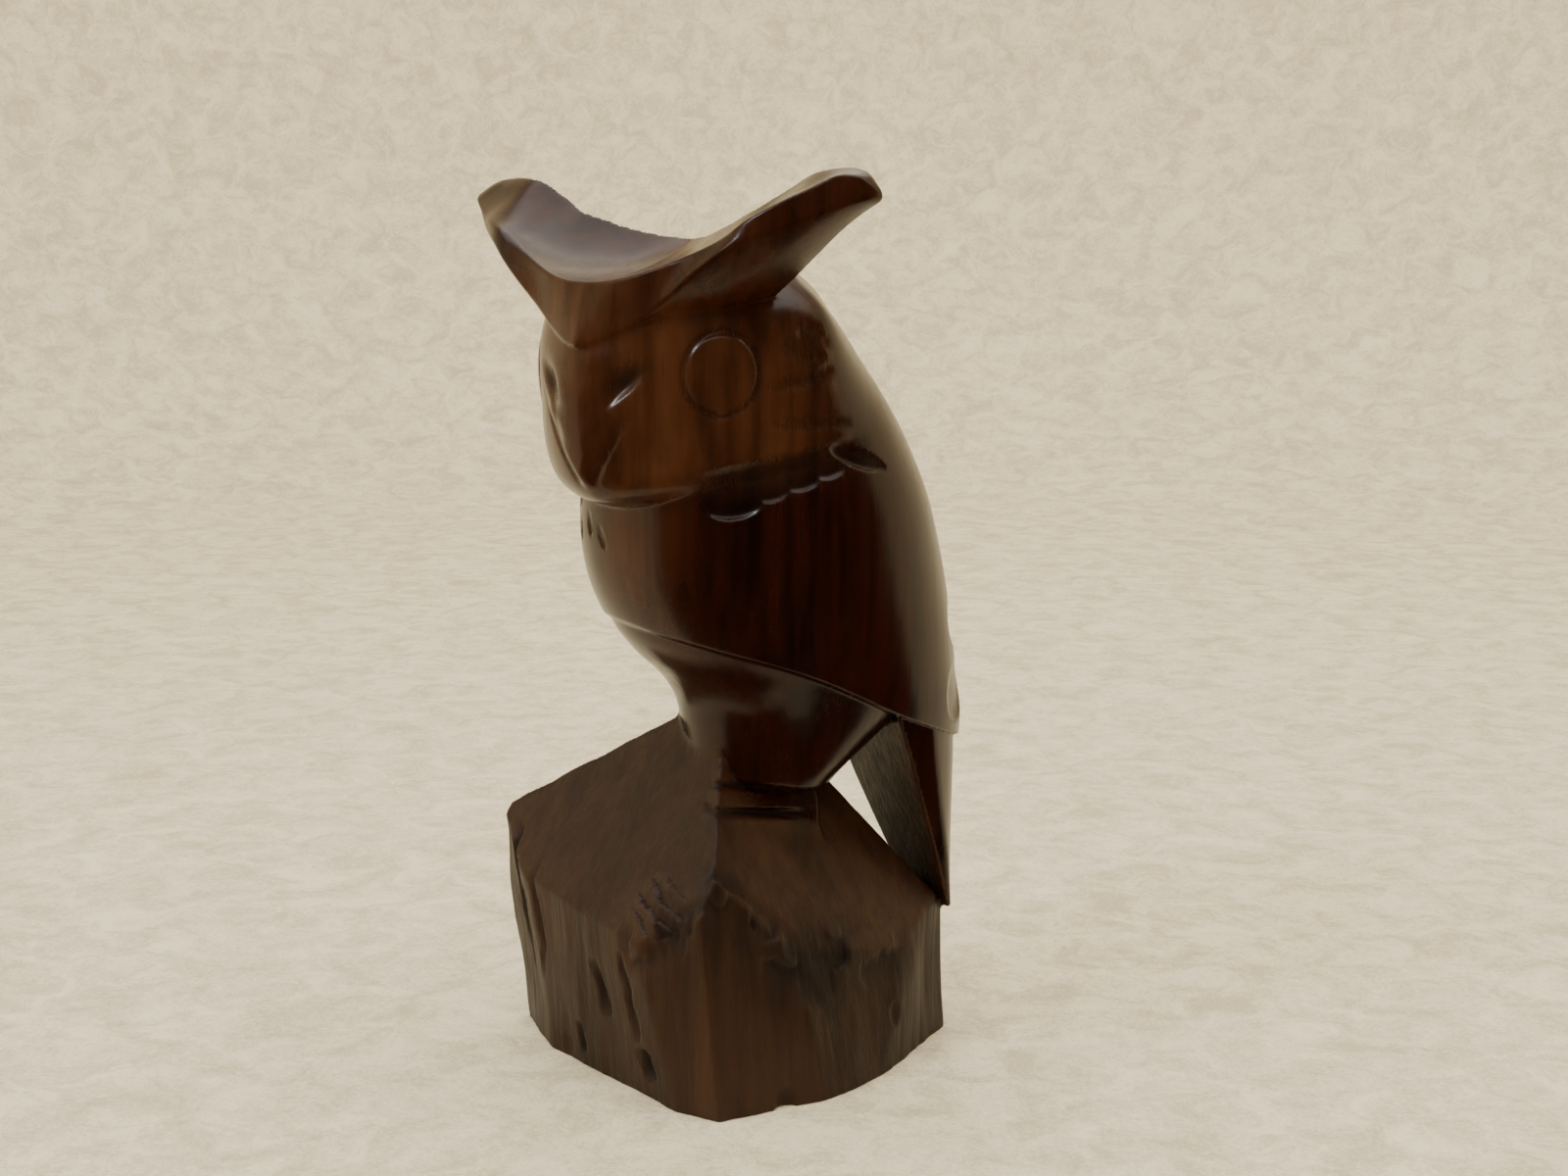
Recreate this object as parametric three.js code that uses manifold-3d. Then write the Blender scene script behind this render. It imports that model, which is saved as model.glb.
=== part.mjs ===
// A horned owl perched on a rough-hewn base, carved from one block of hardwood.
// Millimetres. +Z is up from the table, the owl's breast faces -Y, its tail hangs at +Y and its left side is +X.
// The origin is on the underside, below the middle of the perched body.
import * as THREE from "three";
import { LoftGeometry } from "three/addons/geometries/LoftGeometry.js";
import { mergeVertices } from "three/addons/utils/BufferGeometryUtils.js";
import Module from "manifold-3d";

const WOOD_COLOR = 0x3a1d12;

// The head is turned to the owl's left about this upright axis.
const HEAD_TURN_DEG = 23;
const HEAD_AXIS_Y = -5;
// The head also tilts a little, so that its left ear tuft is the higher one.
const HEAD_TILT = 0.035;

// The wings and back, closed like a cloak: oval sections from the tail's root up to the crown.
const CLOAK = [
  { z: 50, front: 4, back: 41.6, half: 17 },
  { z: 56, front: -2, back: 42, half: 21.5 },
  { z: 62, front: -8, back: 41.4, half: 24.6 },
  { z: 68, front: -13, back: 40.2, half: 26.2 },
  { z: 74, front: -17.5, back: 39.4, half: 27 },
  { z: 80, front: -21.2, back: 38.6, half: 27.4 },
  { z: 86, front: -23.4, back: 37.4, half: 27.8 },
  { z: 92, front: -24.2, back: 35.9, half: 28 },
  { z: 98, front: -24.2, back: 34.1, half: 27.7 },
  { z: 104, front: -24.6, back: 31.5, half: 27.1 },
  { z: 110, front: -24.6, back: 28.4, half: 26.3 },
  { z: 116, front: -25, back: 24.6, half: 25.4 },
  { z: 122, front: -24.6, back: 20.4, half: 23.8 },
  { z: 128, front: -23.4, back: 16.2, half: 21.5 },
  { z: 133, front: -19, back: 12.2, half: 18.8 },
  { z: 136.6, front: -12.5, back: 7, half: 13 },
  { z: 139.2, front: -6.5, back: -1, half: 5 },
];
// The wings' lower edge: a plane that falls from the breast to the tail.
const WING_EDGE_Z = 70.5;
const WING_EDGE_FALL = 0.4;

// The belly and legs under the wings, with the ledge of the feet just above the base.
const BELLY = [
  { z: 43.5, front: -10.5, back: 16, half: 12.5 },
  { z: 46.5, front: -11, back: 18.6, half: 14.2 },
  { z: 49.6, front: -11, back: 20.4, half: 14.6 },
  { z: 52, front: -10.6, back: 21.5, half: 14 },
  { z: 56, front: -10, back: 27, half: 14.6 },
  { z: 60, front: -9.6, back: 31.5, half: 16 },
  { z: 64, front: -9, back: 34, half: 18 },
  { z: 68, front: -11.2, back: 35.5, half: 20.2 },
  { z: 72, front: -15.4, back: 36, half: 22 },
  { z: 76, front: -18.5, back: 36, half: 23.4 },
  { z: 80, front: -20.4, back: 36, half: 24.2 },
  { z: 86, front: -21.8, back: 34, half: 24.6 },
];

// The face, in the turned head's own frame: front is the ridge of the beak, half the width at the cheeks.
const FACE = [
  { z: 98.4, front: 19, half: 13, back: 8 },
  { z: 99.8, front: 24, half: 18.5, back: 12 },
  { z: 102, front: 26.6, half: 22.6, back: 15 },
  { z: 105, front: 28, half: 25, back: 17 },
  { z: 110, front: 29, half: 26.2, back: 19 },
  { z: 116, front: 29.4, half: 26.4, back: 19 },
  { z: 121, front: 29.8, half: 26.4, back: 17 },
  { z: 126, front: 29.6, half: 25.8, back: 13 },
  { z: 130, front: 28.4, half: 23.8, back: 8 },
  { z: 134, front: 24, half: 19, back: 4 },
];
const FACE_WEDGE = 1.63; // exponent of the cheeks' curve: 2 is an oval, 1 a sharp wedge

// The eyes: shallow ring grooves on the cheeks.
const EYE_Z = 120.1;
const EYE_TURN_DEG = 48;
const EYE_FROM_AXIS = 25.5;
const EYE_RADIUS = 5.9;
const EYE_STRETCH = 1.1;
const EYE_GROOVE_RADIUS = 0.9;

// Half of the brow, from the middle of the forehead out to the tip of one ear tuft, in the head's frame.
// Each section has an upright facet at the front, a hollow top and a coved underside.
const BROW = [
  { side: 0, upper: [26.8, 134.6], lower: [30, 124.4], under: [8, 126], back: [1.5, 140.2] },
  { side: 4, upper: [26.6, 134.8], lower: [28.4, 125.6], under: [8, 126], back: [3, 140.6] },
  { side: 8.5, upper: [25.6, 135.6], lower: [26.4, 127.7], under: [7.5, 126.5], back: [5.2, 141.6] },
  { side: 13, upper: [24, 137], lower: [24.8, 130.8], under: [7, 127.2], back: [6.7, 142.9] },
  { side: 18, upper: [22, 139], lower: [24, 134.9], under: [6.5, 129], back: [7.5, 145] },
  { side: 22, upper: [20.6, 141], lower: [22.9, 137.9], under: [6.5, 131.8], back: [7, 146.8] },
  { side: 26, upper: [19.8, 143.5], lower: [20.8, 140.3], under: [6.5, 134.8], back: [6.8, 148.8] },
  { side: 30, upper: [17.6, 145.8], lower: [18.1, 141.8], under: [6.5, 138], back: [6.5, 150.8] },
  { side: 34, upper: [14.5, 148], lower: [15.1, 143.6], under: [6.2, 141.2], back: [5.8, 151.6] },
  { side: 38, upper: [12, 150.2], lower: [11.6, 145.4], under: [5.6, 144], back: [5.4, 151.4] },
  { side: 41.6, upper: [8.8, 147.4], lower: [8.2, 146.5], under: [5.6, 146.2], back: [5.4, 147.2] },
];
const BROW_DIP = 1.6; // how far the hollow top sinks below a straight line from front to back
const EAR_REACH = 42; // how far out an ear tuft reaches

// The tail: a wedge that hangs clear of the base, thinner and narrower towards its tip.
const TAIL = [
  { z: 22.9, inner: 39.4, side: 40.6, back: 41.4, half: 6.8 },
  { z: 33, inner: 35.6, side: 39.4, back: 41.6, half: 9.2 },
  { z: 44, inner: 31.2, side: 38.4, back: 41.9, half: 11.4 },
  { z: 52, inner: 28.2, side: 38, back: 42, half: 12.8 },
  { z: 62, inner: 24, side: 36.5, back: 41.4, half: 14.5 },
];

// The base: a block cut by flat facets. turn is the way a facet faces, counted from -Y towards +X;
// lean is how far it tips up; out is how far it lies from the origin.
const BLOCK_SIZE = [96, 96, 58];
const BLOCK_MIDDLE = [-5, 6];
const FACETS = [
  { turn: 9, lean: -4.4, out: 21.9 },
  { turn: 31.7, lean: 2.2, out: 25.9 },
  { turn: 89.1, lean: 6.9, out: 25.3 },
  { turn: 109, lean: 9.6, out: 25.3 },
  { turn: 138, lean: 0.7, out: 33 },
  { turn: 176, lean: 1, out: 40.6 },
  { turn: 208, lean: 2, out: 41.2 },
  { turn: 242, lean: 0, out: 39.4 },
  { turn: 272, lean: -1, out: 36.9 },
  { turn: 349, lean: -7, out: 28.1 },
  { turn: 12.7, lean: 32.8, out: 35.5 },
  { turn: 113.3, lean: 28.4, out: 30.4 },
  { turn: 185, lean: 40, out: 44.5 },
  { turn: 218, lean: 44, out: 48.2 },
  { turn: 256, lean: 50, out: 49.6 },
];

const RING_POINTS = 40;
const RINGS_PER_STATION = 2;
const FINEST_EDGE = 1e-3;

const radians = THREE.MathUtils.degToRad;
const wasm = await Module();
wasm.setup();

// A geometry as a manifold-3d solid.
function solidOf(geometry) {
  const bare = new THREE.BufferGeometry();
  bare.setAttribute("position", geometry.getAttribute("position"));
  bare.setIndex(geometry.getIndex());
  const merged = mergeVertices(bare, FINEST_EDGE);
  return new wasm.Manifold(
    new wasm.Mesh({
      numProp: 3,
      vertProperties: merged.attributes.position.array,
      triVerts: new Uint32Array(merged.index.array),
    }),
  );
}

// A manifold-3d solid as a flat-shaded geometry.
function geometryOf(solid) {
  const mesh = solid.getMesh();
  const geometry = new THREE.BufferGeometry();
  geometry.setAttribute("position", new THREE.BufferAttribute(mesh.vertProperties, 3));
  geometry.setIndex(new THREE.BufferAttribute(mesh.triVerts, 1));
  return geometry;
}

// One value of a station table as a smooth curve of height.
function smoothValue(stations, key) {
  const curve = new THREE.SplineCurve(stations.map((s) => new THREE.Vector2(s.z, s[key])));
  return (t) => curve.getPoint(t).y;
}

// Evenly spread steps from the first station to the last.
function stationSteps(stations) {
  const count = (stations.length - 1) * RINGS_PER_STATION;
  return Array.from({ length: count + 1 }, (_, i) => i / count);
}

// A closed loft through sections, with both ends capped.
function loft(sections) {
  return solidOf(new LoftGeometry(sections, { capStart: true, capEnd: true }));
}

// Oval sections stacked up Z, each given by its front, back and half width.
function ovalLoft(stations) {
  const z = smoothValue(stations, "z");
  const front = smoothValue(stations, "front");
  const back = smoothValue(stations, "back");
  const half = smoothValue(stations, "half");
  const sections = stationSteps(stations).map((t) => {
    const middle = (front(t) + back(t)) / 2;
    const depth = (back(t) - front(t)) / 2;
    return Array.from({ length: RING_POINTS }, (_, i) => {
      const a = (i / RING_POINTS) * 2 * Math.PI;
      return new THREE.Vector3(half(t) * Math.cos(a), middle + depth * Math.sin(a), z(t));
    });
  });
  return loft(sections);
}

// A point of the turned head, from its distance to the side, to the front, and its height.
function headPoint(side, front, z) {
  const turn = radians(HEAD_TURN_DEG);
  return new THREE.Vector3(
    side * Math.cos(turn) + front * Math.sin(turn),
    HEAD_AXIS_Y + side * Math.sin(turn) - front * Math.cos(turn),
    z + side * HEAD_TILT,
  );
}

// The closed upper body with the edge of the wings cut along its lower side.
function cloak() {
  const reach = 200;
  const below = new THREE.BoxGeometry(reach, reach, reach);
  below.translate(0, 0, -reach / 2);
  below.rotateX(-Math.atan(WING_EDGE_FALL));
  below.translate(0, 0, WING_EDGE_Z);
  return ovalLoft(CLOAK).subtract(solidOf(below));
}

// The wedge of the face: flat cheeks that meet in the ridge of the beak.
function face() {
  const z = smoothValue(FACE, "z");
  const front = smoothValue(FACE, "front");
  const half = smoothValue(FACE, "half");
  const back = smoothValue(FACE, "back");
  const power = 2 / FACE_WEDGE;
  const sections = stationSteps(FACE).map((t) =>
    Array.from({ length: RING_POINTS }, (_, i) => {
      const a = (i / RING_POINTS) * 2 * Math.PI;
      const side = Math.sign(Math.cos(a)) * Math.abs(Math.cos(a)) ** power * half(t);
      const ahead = Math.abs(Math.sin(a)) ** power * front(t);
      return headPoint(side, Math.sin(a) < 0 ? ahead : back(t) * -Math.sin(a), z(t));
    }),
  );
  return loft(sections);
}

// The ring groove of one eye, to be cut from the cheek.
function eyeGroove(hand) {
  const ring = new THREE.TorusGeometry(EYE_RADIUS, EYE_GROOVE_RADIUS, 8, 28);
  ring.scale(1, EYE_STRETCH, 1);
  ring.rotateX(Math.PI / 2);
  ring.rotateZ(radians(HEAD_TURN_DEG + hand * EYE_TURN_DEG));
  const turn = radians(EYE_TURN_DEG);
  const middle = headPoint(hand * EYE_FROM_AXIS * Math.sin(turn), EYE_FROM_AXIS * Math.cos(turn), EYE_Z);
  ring.translate(middle.x, middle.y, middle.z);
  return solidOf(ring);
}

// The brow and both ear tufts in one piece, lofted from the tip of one to the tip of the other.
function brow() {
  const half = BROW.map((s) => ({ ...s, hand: 1 }));
  const other = BROW.slice(1).map((s) => ({ ...s, hand: -1 }));
  const sections = [...other.reverse(), ...half].map(({ side, upper, lower, under, back, hand }) => {
    const cove = [(lower[0] * 2 + under[0]) / 3, (lower[1] + under[1] * 2) / 3];
    const rear = [back[0] - 0.5, (back[1] + under[1]) / 2];
    const dip = BROW_DIP * (1 - (side / EAR_REACH) ** 2);
    const hollow = [(upper[0] + back[0]) / 2, (upper[1] + back[1]) / 2 - dip];
    const outline = [upper, lower, cove, under, rear, back, hollow];
    return outline.map(([front, z]) => headPoint(hand * side, front, z));
  });
  return loft(sections);
}

// The hanging tail: flat inside, crowned outside.
function tail() {
  const sections = TAIL.map(({ z, inner, side, back, half }) =>
    [
      [-half, inner],
      [half, inner],
      [half, side],
      [half * 0.55, (side + back * 3) / 4],
      [0, back],
      [-half * 0.55, (side + back * 3) / 4],
      [-half, side],
    ].map(([x, y]) => new THREE.Vector3(x, y, z)),
  );
  return loft(sections);
}

// The faceted base: every facet takes off what lies in front of it.
function base() {
  const [width, depth, height] = BLOCK_SIZE;
  const block = new THREE.BoxGeometry(width, depth, height);
  block.translate(BLOCK_MIDDLE[0], BLOCK_MIDDLE[1], height / 2);
  const reach = 160;
  return FACETS.reduce((left, { turn, lean, out }) => {
    const chip = new THREE.BoxGeometry(reach, reach, reach);
    chip.translate(0, -reach / 2 - out, 0);
    chip.rotateX(-radians(lean));
    chip.rotateZ(radians(turn));
    return left.subtract(solidOf(chip));
  }, solidOf(block));
}

const owl = [ovalLoft(BELLY), face(), brow(), tail(), base()].reduce((whole, piece) => whole.add(piece), cloak());
const carved = [-1, 1].reduce((whole, hand) => whole.subtract(eyeGroove(hand)), owl);

const carvedOwl = new THREE.Mesh(
  geometryOf(carved),
  new THREE.MeshStandardMaterial({ color: WOOD_COLOR, roughness: 0.35 }),
);
carvedOwl.name = "carved_owl";
const part = new THREE.Group();
part.add(carvedOwl);

export default part;
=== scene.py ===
import itertools
import math

import bpy
import numpy as np
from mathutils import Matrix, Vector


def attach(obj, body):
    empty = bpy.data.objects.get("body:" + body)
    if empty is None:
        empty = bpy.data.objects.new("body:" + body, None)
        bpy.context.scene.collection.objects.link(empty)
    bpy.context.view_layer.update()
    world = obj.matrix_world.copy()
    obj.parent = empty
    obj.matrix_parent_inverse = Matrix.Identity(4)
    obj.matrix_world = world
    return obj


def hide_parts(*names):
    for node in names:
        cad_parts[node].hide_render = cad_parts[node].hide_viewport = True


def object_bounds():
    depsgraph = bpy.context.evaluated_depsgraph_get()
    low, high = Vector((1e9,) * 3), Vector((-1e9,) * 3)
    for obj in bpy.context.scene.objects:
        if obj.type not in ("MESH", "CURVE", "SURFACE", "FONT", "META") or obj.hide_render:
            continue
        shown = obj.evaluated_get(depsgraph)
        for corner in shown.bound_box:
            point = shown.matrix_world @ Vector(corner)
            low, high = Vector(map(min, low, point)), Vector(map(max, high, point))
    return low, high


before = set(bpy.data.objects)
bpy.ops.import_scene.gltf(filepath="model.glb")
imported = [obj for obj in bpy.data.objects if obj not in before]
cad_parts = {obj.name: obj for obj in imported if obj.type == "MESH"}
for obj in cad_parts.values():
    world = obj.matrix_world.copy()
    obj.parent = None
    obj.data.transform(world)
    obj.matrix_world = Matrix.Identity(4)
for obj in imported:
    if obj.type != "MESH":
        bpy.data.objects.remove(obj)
cad_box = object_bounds()

# Shapes are worked out in millimetres and scaled to metres at the end.
MM = 0.001
FAR = 40.0
TINY = 1e-6

# The surface is found on a grid a little larger than the carving. Its normals are read this far round
# each vertex.
GRID_STEP = 0.48
GRID_MARGIN = 1.7
NORMAL_REACH = 0.35
TRIANGLES = 190000
# The finest meshing lies above this height and within this turn from the front of the head.
FINE_FROM = 95
FINE_SIDE_DEG = 105

# The head is turned to the owl's left about an upright axis, and tilts a little.
HEAD_TURN_DEG = 23
HEAD_AXIS_Y = -5
HEAD_TILT = 0.035

# Oval sections of the wings and back: height, front, back, half width.
CLOAK = [
    (50, 4, 41.6, 17),
    (56, -2, 42, 21.5),
    (62, -8, 41.4, 24.6),
    (68, -13, 40.2, 26.2),
    (74, -17.5, 39.4, 27),
    (80, -21.2, 38.6, 27.4),
    (86, -23.4, 37.4, 27.8),
    (92, -24.2, 35.9, 28),
    (98, -24.2, 34.1, 27.7),
    (104, -24.6, 31.5, 27.1),
    (110, -24.6, 28.4, 26.3),
    (116, -25, 24.6, 25.4),
    (122, -24.6, 20.4, 23.8),
    (128, -23.4, 16.2, 21.5),
    (133, -19, 12.2, 18.8),
    (136.6, -12.5, 7, 13),
    (139.2, -6.5, -1, 5),
]
# The wings' lower edge is a plane that falls from the breast to the tail.
WING_EDGE_Z = 70.5
WING_EDGE_FALL = 0.4

# The middle of that edge is carved a little higher: its place along Y, its reach and its rise.
WING_EDGE_LIFT = (2, 15, 1.7)

# Oval sections of the belly under the wings.
BELLY = [
    (49.6, -6.4, 18, 13.4),
    (52, -6.4, 20.5, 14.3),
    (56, -6.8, 26, 15.4),
    (60, -7.4, 31, 16.8),
    (64, -8.4, 34, 18.4),
    (68, -11, 35.5, 20.2),
    (72, -15.2, 36, 22),
    (76, -18.5, 36, 23.4),
    (80, -20.4, 36, 24.2),
    (86, -21.8, 34, 24.6),
]
# The block of the feet, squarer than the belly. Its faces are given like the base's facets below.
FEET = [(0, 26.6, 29.2), (102.6, 0, 10.9), (102.6, 27.5, 31.2)]
FEET_BOTTOM = 40
FEET_TOP = 54
FEET_BACK = 13

# Sections of the face in the head's frame: height, ridge of the beak, half width, back.
FACE = [
    (98.4, 19, 13, 8),
    (99.8, 24, 18.5, 12),
    (102, 26.6, 22.6, 15),
    (105, 28, 25, 17),
    (110, 29, 26.2, 19),
    (116, 29.4, 26.4, 19),
    (121, 29.8, 26.4, 17),
    (126, 29.6, 25.8, 13),
    (130, 28.4, 23.8, 8),
    (134, 24, 19, 4),
]
FACE_WEDGE = 1.63  # 2 is an oval, 1 a sharp wedge
# The face steps back under the middle of the brow: how far, at which height, and how far out to the side.
FACE_RECESS = 0.9
FACE_RECESS_HEIGHT = (121, 126)
FACE_RECESS_SIDE = (4, 15)

# Half of the brow in the head's frame, from the middle to the tip of an ear tuft. After the distance
# to the side come four corners, each by front and height: upper front, lower front, under and back.
BROW = [
    (0, 26.8, 134.6, 30, 124.4, 8, 126, 1.5, 140.2),
    (4, 26.6, 134.8, 28.4, 125.6, 8, 126, 3, 140.6),
    (8.5, 25.6, 135.6, 26.4, 127.7, 7.5, 126.5, 5.2, 141.6),
    (13, 24, 137, 24.8, 130.8, 7, 127.2, 6.7, 142.9),
    (18, 22, 139, 24, 134.9, 6.5, 129, 7.5, 145),
    (22, 20.6, 141, 22.9, 137.9, 6.5, 131.8, 7, 146.8),
    (26, 19.8, 143.5, 20.8, 140.3, 6.5, 134.8, 6.8, 148.8),
    (30, 17.6, 145.8, 18.1, 141.8, 6.5, 138, 6.5, 150.8),
    (34, 14.5, 148, 15.1, 143.6, 6.2, 141.2, 5.8, 151.6),
    (38, 12, 150.2, 11.6, 145.4, 5.6, 144, 5.4, 151.4),
    (42, 9, 152.4, 7.6, 146.7, 4.8, 146.3, 5, 152),
]
BROW_DIP = 1.6
EAR_REACH = 42
EAR_TOP = 151.5
EAR_END = (0.772, 0.636, 125.6)  # the slanting end: its direction to the side and up, and its distance
COVE_CURVE = 2.7
BROW_BACK = 0.5  # how far the rear face lies behind the rear corners
BROW_TOP_SLOPE = 0.9
BROW_COVE_SLOPE = 0.75
# The owl's right ear tuft is carved lower along its front towards the end, and is a little longer.
RIGHT_EAR_DROP = 4.4
RIGHT_EAR_LONGER = 1.4
RIGHT_EAR_FROM_TO = (20, 42)

# Sections of the hanging tail: height, inner face, edge and crown of the outer face, half width.
TAIL = [
    (22.9, 39.4, 40.2, 41.4, 7),
    (33, 35.6, 37.8, 41.6, 9.5),
    (44, 31.2, 34.8, 41.9, 11.8),
    (52, 28.2, 33, 42, 13.2),
    (62, 24, 31, 41.4, 15),
]
TAIL_CROWN = 2.6  # how flat the outer face stays before it falls to its edges

# Facets of the base: the way each one faces counted from -Y towards +X, how far it tips up,
# how far it lies from the origin, how warm its wood is and how rough. The warmth is partly the wood's own
# tone and
# partly painted light: each side made lighter or darker by how the light falls on it. The tops come last,
# from the eleventh on, and are knife-cut.
FACETS = [
    (9, -4.4, 21.9, 0.45, 0.7),
    (31.7, 2.2, 25.9, 0.6, 0.5),
    (89.1, 6.9, 25.3, 0.5, 0.6),
    (109, 9.6, 25.3, 0.3, 0.8),
    (126.7, 0.7, 27.8, 0.3, 0.9),
    (176, 1, 40.6, 0.35, 1),
    (208, 2, 41.2, 0.4, 1),
    (242, 0, 39.4, 0.3, 1),
    (272, -1, 36.9, 0.35, 1),
    (349, -7, 28.1, 0.25, 1.2),
    (12.7, 32.8, 35.5, 0.45, 1),
    (113.3, 28.4, 30.4, 1, 1),
    (185, 40, 44.5, 0.5, 1),
    (218, 44, 48.2, 0.4, 1),
    (256, 50, 49.6, 0.4, 1),
]
FIRST_TOP = 10

# The heights between which each shape is worked out.
HEIGHTS = {
    "base": (-4, 66),
    "tail": (18, 66),
    "cloak": (44, 146),
    "face": (94, 140),
    "brow": (116, 160),
}
BELLY_BELOW = 90
HEAD_CUTS_ABOVE = 92
BODY_CUTS_BETWEEN = (50, 102)
LOW_CUTS_BELOW = 56
CUT_REACH = 4  # cuts are worked out this near the uncut surface

# How softly neighbouring shapes run into each other.
SOFT = {
    "face": 5.0,
    "disc": 1.0,
    "brow": 0.5,
    "ear": 2.4,
    "wing": 0.6,
    "tail": 0.8,
    "foot": 1.2,
    "facet": 0.35,
    "section": 0.6,
}
CHIN_HEIGHTS = (101, 108)  # between these the blend changes from the one of the disc to that of the face

# The eyes: ring grooves round slightly domed discs.
EYE_Z = 120.1
EYE_TURN_DEG = 48
EYE_RADIUS = 5.9
EYE_STRETCH = 1.1
EYE_GROOVE = (0.85, 0.4)  # half width, depth
EYE_DOME = 0.5
IN_FRONT = 15  # cuts of the face lie further forward than this

# The edge of the beak on either side, from its root down to its tip: distance to the side, height.
BEAK_EDGE = [
    (13, 121.4),
    (11.2, 118.6),
    (9.2, 115.8),
    (7.8, 113.6),
    (6.8, 112),
    (5.8, 110.3),
    (4.5, 108.2),
    (3, 106),
    (1.8, 103.9),
    (1.2, 102),
]
BEAK_PROUD = 1.1
BEAK_PROUD_ENDS = ((101.5, 105), (116.5, 121.5))  # heights where it rises, and where it sinks in again
BEAK_SHOULDER = (-0.5, 2.3)  # where the side of the beak begins and ends, counted inwards from its edge
BEAK_GROOVE = (1.2, 0.3)
BEAK_GROOVE_ENDS = ((102, 105), (112.5, 115.5))
# Soft hollows along the beak: to the side, height, length, width, tilt in degrees, depth.
BEAK_HOLLOWS = [(7.2, 118.3, 3.7, 1.9, 45, 1.8), (4.3, 111.4, 2.6, 1.2, 62, 0.6)]

# Knife strokes behind the eyes, by turn in degrees from the front of the head and height.
RUFF_STROKES = [
    [(76, 125.5), (82, 126), (89, 125.9)],
    [(68, 123.2), (80, 124), (92, 123.8)],
    [(74, 121.4), (80, 122.1), (88, 122.2)],
    [(64, 117.3), (77, 118.5), (92, 119.7)],
    [(64, 111.3), (80, 111.6), (97, 111.2)],
]
RUFF_STROKE = (1.7, 0.34)
RUFF_RIDGE = (1.8, 0.12)  # the raised wood along the lower side of a stroke
RUFF_RIDGE_DROP = 2
# The rim along the bottom of the ruff, and the way it steps back under that rim.
RUFF_RIM = [(30, 104.6), (48, 105.6), (61, 106.7), (89, 108.8), (97, 109.4)]
RUFF_STEP = 0.65
RUFF_STEP_ENDS = ((-0.4, 1.6), (1.6, 7))  # how far below the rim it deepens, and where it runs out
RUFF_RIM_ENDS = (3, 4)  # how softly the rim begins and ends

# Gouged feather tips: turn, height, half width, half height, tilt in degrees, depth.
NECK_SCOOPS = [
    (52.5, 99.9, 5.4, 3, 4, 1.2),
    (66, 101.7, 3.6, 2.2, 10, 0.9),
    (76.5, 103, 3.3, 2, 10, 0.85),
    (86.5, 104.4, 3, 1.8, 12, 0.8),
    (63, 104.3, 4.6, 1.7, 8, 0.5),
    (76, 105.5, 4.6, 1.6, 8, 0.5),
    (98, 105.4, 5.4, 1.7, -24, 1),
]
BACK_SCOOPS = [(turn, 76, 5.2, 4.6, 0, 1) for turn in (160, 186, 212)]
BACK_SCOOPS += [(turn, 64.5, 5, 5.4, 0, 1.1) for turn in (153, 178, 203)]
CHEST_SCOOPS = [
    (-4, 94.8, 0.9, 2.3, 12, 0.5),
    (5, 93.2, 0.9, 2.3, 28, 0.5),
    (-14, 93.4, 0.9, 2.3, -14, 0.5),
]
HEAD_RADIUS = 26.0
BODY_AXIS_Y = 4
BODY_RADIUS = 27.0

# Cuts across the sides of the feet: a point in front, a point behind, both by Y and height.
FOOT_STROKES = [[(-9, 51.9), (3, 50), (14, 47.6)], [(-11, 48.4), (3, 45.6), (16, 43)]]
FOOT_STROKE = (1.1, 1.2)
FOOT_SIDE = (8.5, 15)  # the cuts lie between these distances from the middle

# Splits in the front of the base, by X and height, each with half width and depth.
BASE_SPLITS = [
    ([(5.6, 25), (7, 19), (8.4, 13), (9.6, 9)], 1.3, 0.9),
    ([(9.8, 8.6), (11.6, 3.4)], 1.9, 1.7),
    ([(-30.5, 38), (-28, 31), (-26.5, 22), (-26, 12)], 1.5, 1.3),
    ([(-21.5, 34), (-19.6, 26), (-19.2, 12)], 1.2, 0.6),
    ([(-2.6, 21), (-0.6, 14), (-0.2, 11)], 1.9, 1),
    ([(-9.4, 8), (-8.4, 2)], 1.4, 0.8),
]
SPLITS_FRONT = -10  # they lie further forward than this along Y
SPLIT_WAVES = (0.9, 2.2, 3.2)  # how far they wander, and over which lengths across and along the grain
# Small holes and nicks: X, Y, Z, radius and depth. One is a raised flake.
BASE_NICKS = [
    (10.8, -20.6, 6.2, 1.7, 1.3),
    (17.8, 23, 9.6, 1.6, 1.1),
    (20.8, -12.4, 37.6, 1.9, -1),
    (22.4, 1, 27.2, 2.6, 1.2),
    (26, -2.6, 1, 2.4, 1.3),
    (-13, -26, 2, 2.4, 1.3),
]
NICK_STRETCH = 1.6
# A patch of small knife steps on the near front corner: middle, reach, height of a step, how proud it is.
STEPS_MIDDLE = (11.5, -19.2, 33)
STEPS_REACH = (7, 6, 6)
STEP_HEIGHT = 2.4
STEP_PROUD = 0.7
STEP_SLANT = 0.35
STEP_WAVES = (0.5, 3)
STEP_EDGE = 1.4  # how sharply the patch ends

# Edges between a side and a top where the wood broke away under the knife: the places of both facets in
# the table, how far the break reaches down the side and in from the top, and its depth.
BROKEN_EDGES = [((1, 10), 4, 2, 1), ((2, 11), 4, 2.2, 1.2), ((3, 11), 3, 1.8, 0.8)]
CHIPS = [(1, 3.6, 4.4), (0.3, 1.3, 2.2)]  # layers of noise that say where the edges are chipped
CHIP_EDGE = (-0.4, 0.3)

# Uneven surfaces: depth, cell size across the grain and cell size along it.
HEWN_ROUGHNESS = [(0.2, 3, 11), (0.07, 1.3, 6), (0.6, 9, 12)]
KNIFE_ROUGHNESS = [(0.14, 5, 5), (0.05, 1.6, 3)]
HAND_ROUGHNESS = [(0.07, 9, 12)]

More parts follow.
